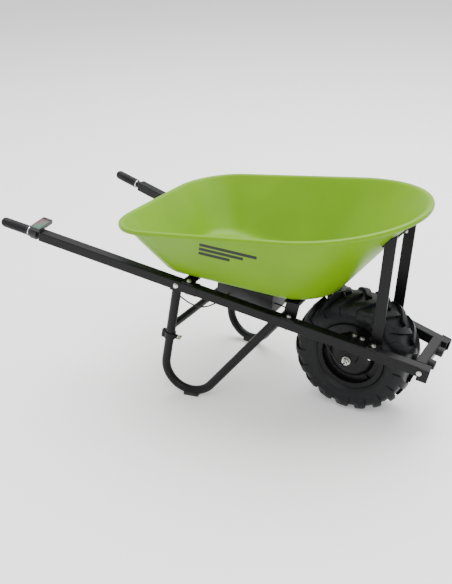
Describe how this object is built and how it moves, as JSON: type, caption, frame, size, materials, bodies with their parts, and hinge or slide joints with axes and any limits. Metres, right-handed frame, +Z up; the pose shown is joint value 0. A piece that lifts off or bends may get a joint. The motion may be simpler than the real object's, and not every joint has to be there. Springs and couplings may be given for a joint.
{
  "type": "power wheelbarrow",
  "caption": "Battery wheelbarrow: deep green tray on black square-tube rails, hub-motor lugged tyre, tube legs, right-hand thumb throttle with display.",
  "frame": {"origin": "on the ground, under the middle of the object's box", "axes": "+X forward towards the wheel, +Y to the left handle, +Z up; the wheel and both legs stand on z = 0"},
  "size_m": [1.4756, 0.682, 0.712],
  "materials": {
    "frame_black": "satin powder coat",
    "tray_green": "satin moulded",
    "tyre": "matte",
    "rim_black": "satin",
    "zinc": "zinc plated",
    "grip_rubber": "matte",
    "bright_collar": "polished",
    "black_plastic": "fine grain",
    "battery_case": "fine grain",
    "bare_aluminium": "cast",
    "display_glass": "gloss",
    "button_red": "gloss",
    "button_grey": "gloss",
    "cable_skin": "satin",
    "magnet": "nickel",
    "lamination": "varnished"
  },
  "bodies": {
    "chassis": {"right_front_rail": "frame_black", "left_front_rail": "frame_black", "rail_joiners": "frame_black", "right_handle_tube": "frame_black", "left_handle_tube": "frame_black", "handle_end_caps": "black_plastic", "grip_tubes": "frame_black", "grips": "grip_rubber", "grip_collars": "bright_collar", "front_crossmember": "frame_black", "crossmember_ears": "frame_black", "crossmember_bolts": "zinc", "front_buffers": "grip_rubber", "tray": "tray_green", "tray_bolts": "zinc", "rear_tray_crossbar": "frame_black", "front_tray_crossbar": "frame_black", "box_bars": "frame_black", "right_strut": "frame_black", "left_strut": "frame_black", "rail_bolts": "zinc", "strut_strap": "frame_black", "right_leg": "frame_black", "left_leg": "frame_black", "right_leg_post": "frame_black", "left_leg_post": "frame_black", "leg_bolts": "zinc", "foot_shoes": "black_plastic", "leg_collars": "frame_black", "leg_brace": "frame_black", "axle_ledges": "frame_black", "axle_hangers": "frame_black", "hanger_bolts": "zinc", "axle": "zinc", "axle_nuts": "zinc", "motor_stator": "lamination", "battery_box": "black_plastic", "box_screws": "zinc", "battery_pack": "battery_case", "controller": "bare_aluminium", "throttle_housing": "black_plastic", "display_lens": "display_glass", "throttle_cable": "cable_skin", "motor_cable": "cable_skin", "cable_clips": "black_plastic"},
    "wheel": {"tyre": "tyre", "wheel_rim": "rim_black", "right_motor_cover": "rim_black", "left_motor_cover": "rim_black", "cover_screws": "zinc", "motor_bearings": "zinc", "rotor_magnets": "magnet", "valve_stem": "cable_skin"},
    "throttle": {"throttle_lever": "black_plastic"},
    "power": {"power_button": "button_red"},
    "direction": {"direction_button": "button_grey"},
    "right_screw": {"right_wing_screw": "zinc"},
    "left_screw": {"left_wing_screw": "zinc"},
    "lid": {"battery_lid": "black_plastic"},
    "latch": {"lid_latch": "black_plastic"}
  },
  "joints": [
    {"name": "wheel_spin", "type": "hinge", "parent": "chassis", "child": "wheel", "pos_m": [0.45998, 0, 0.203], "axis": [0, 1, 0], "continuous": true},
    {"name": "throttle_press", "type": "hinge", "parent": "chassis", "child": "throttle", "pos_m": [-0.62252, -0.30634, 0.53868], "axis": [-0.9642, -0.1478, 0.22], "range_deg": [0, 50], "stiffness_Nm_per_rad": 0.15, "springref_deg": -14.32},
    {"name": "power_press", "type": "slide", "parent": "chassis", "child": "power", "axis": [-0.2224, 0, -0.975], "range_m": [0, 0.0012], "stiffness_N_per_m": 300, "springref_m": -0.002},
    {"name": "direction_press", "type": "slide", "parent": "chassis", "child": "direction", "axis": [-0.2224, 0, -0.975], "range_m": [0, 0.0012], "stiffness_N_per_m": 300, "springref_m": -0.002},
    {"name": "right_screw_turn", "type": "hinge", "parent": "chassis", "child": "right_screw", "pos_m": [-0.09965, -0.22619, 0.21679], "axis": [0.9703, 0.1487, -0.1908], "range_deg": [0, 360]},
    {"name": "left_screw_turn", "type": "hinge", "parent": "chassis", "child": "left_screw", "pos_m": [-0.09965, 0.22619, 0.21679], "axis": [0.9703, -0.1487, -0.1908], "range_deg": [0, 360]},
    {"name": "lid_hinge", "type": "hinge", "parent": "chassis", "child": "lid", "pos_m": [0.00647, 0, 0.33962], "axis": [0, -1, 0], "range_deg": [0, 100]},
    {"name": "latch_turn", "type": "hinge", "parent": "lid", "child": "latch", "pos_m": [0.01015, 0, 0.39855], "axis": [-0.9949, 0, 0.1011], "range_deg": [0, 90]}
  ]
}
